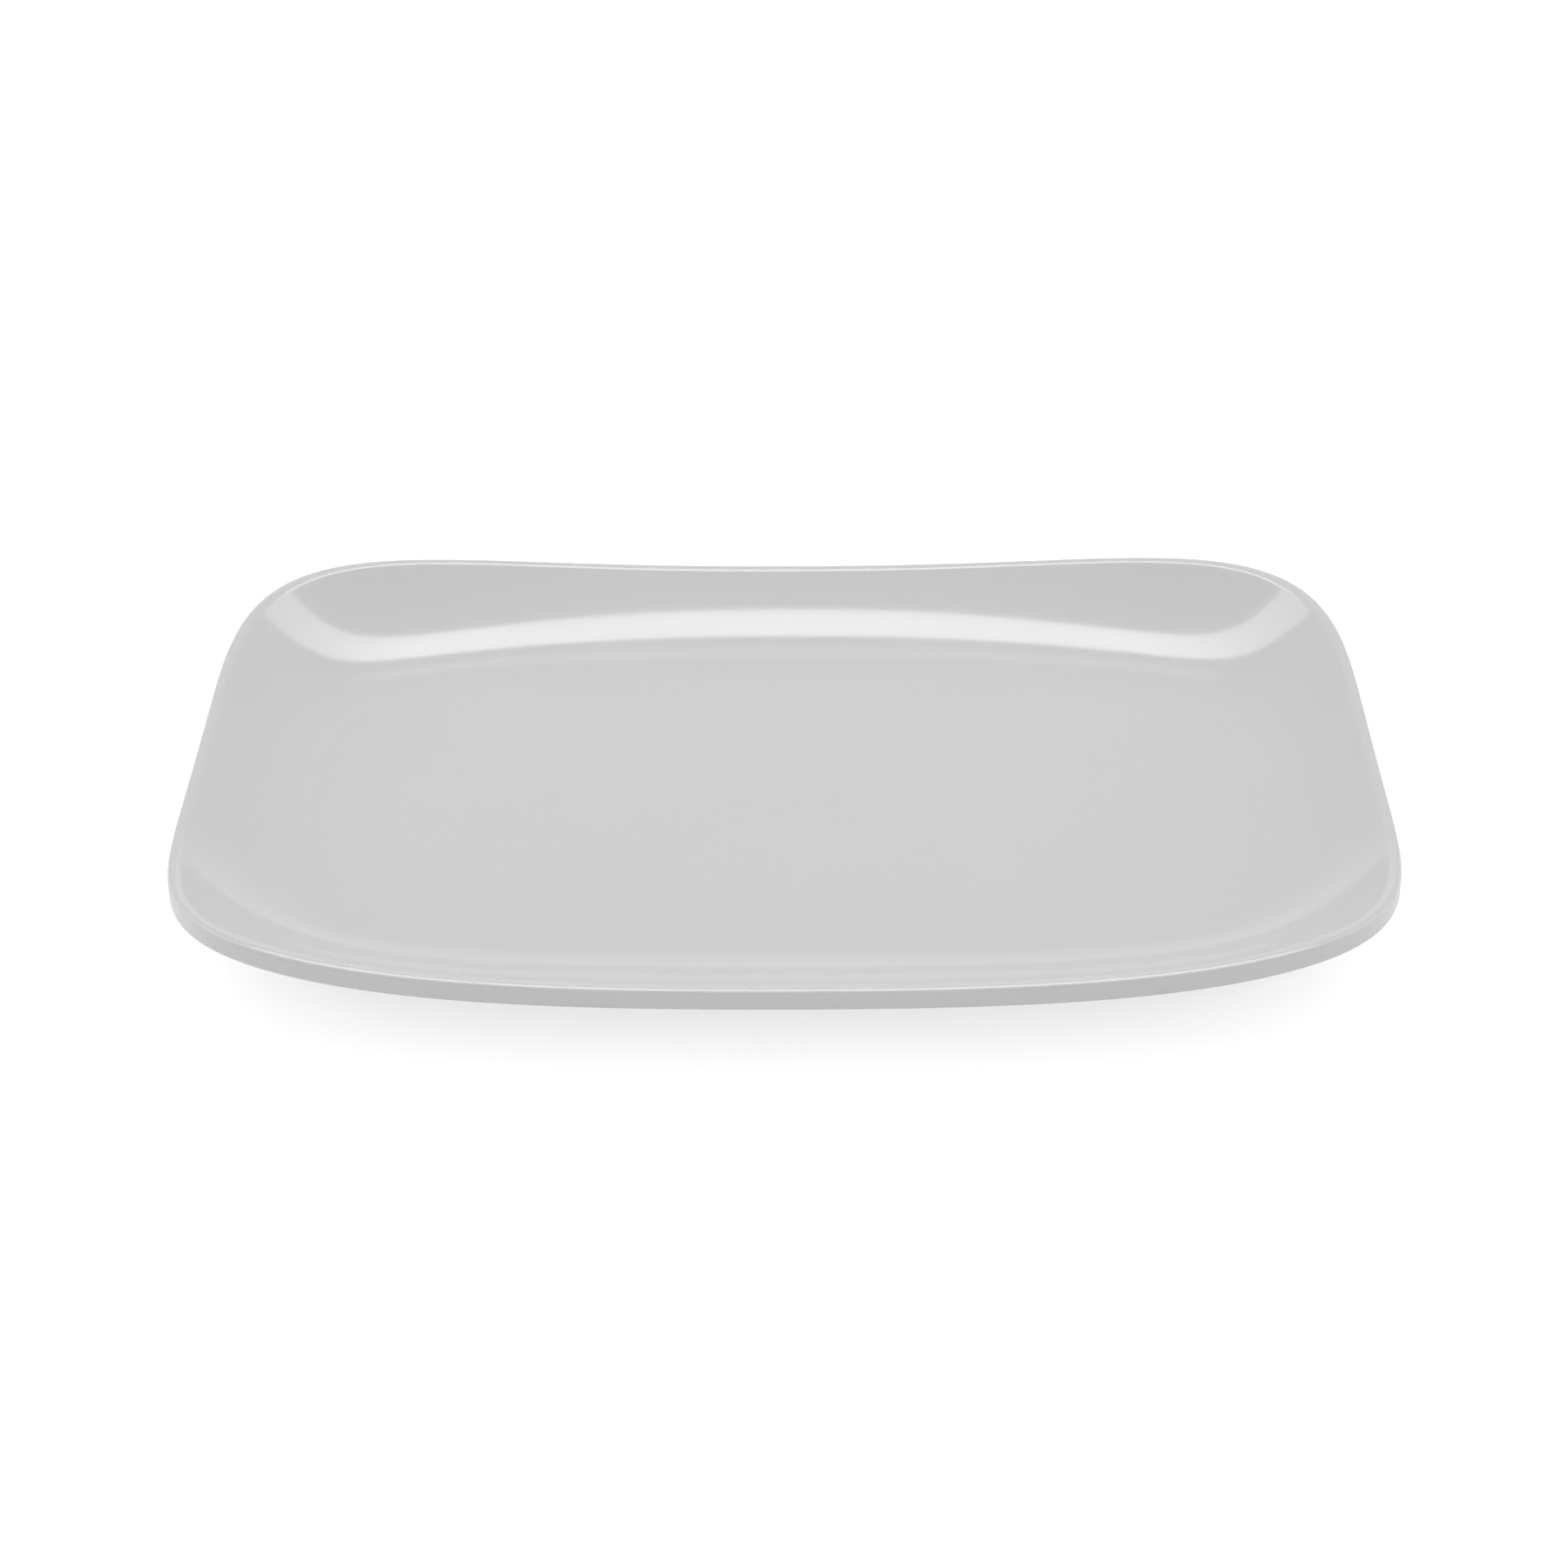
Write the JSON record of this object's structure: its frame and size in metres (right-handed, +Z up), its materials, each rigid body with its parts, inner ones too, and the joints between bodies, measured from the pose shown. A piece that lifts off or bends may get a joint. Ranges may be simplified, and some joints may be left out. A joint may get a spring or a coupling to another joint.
{
  "type": "rectangular platter",
  "caption": "Rectangular coupe serving platter with a flat well, walls that sweep up to a narrow rounded lip, raised corners, an upright rim edge and a moulded foot ring.",
  "frame": {"origin": "centre of the platter's plan, on the plane that the foot ring stands on", "axes": "+X along the length, +Y across the width, +Z up out of the well"},
  "size_m": [0.356, 0.254, 0.0318],
  "materials": {
    "melamine_body": "white pressed melamine compound, satin on the ground upright edge and on the underside",
    "food_face_glaze": "smooth glossy melamine glaze over the white body, with faint moulding haze and fine use marks"
  },
  "bodies": {
    "root": {"platter_body": "melamine_body", "food_face_glaze": "food_face_glaze"}
  },
  "joints": []
}
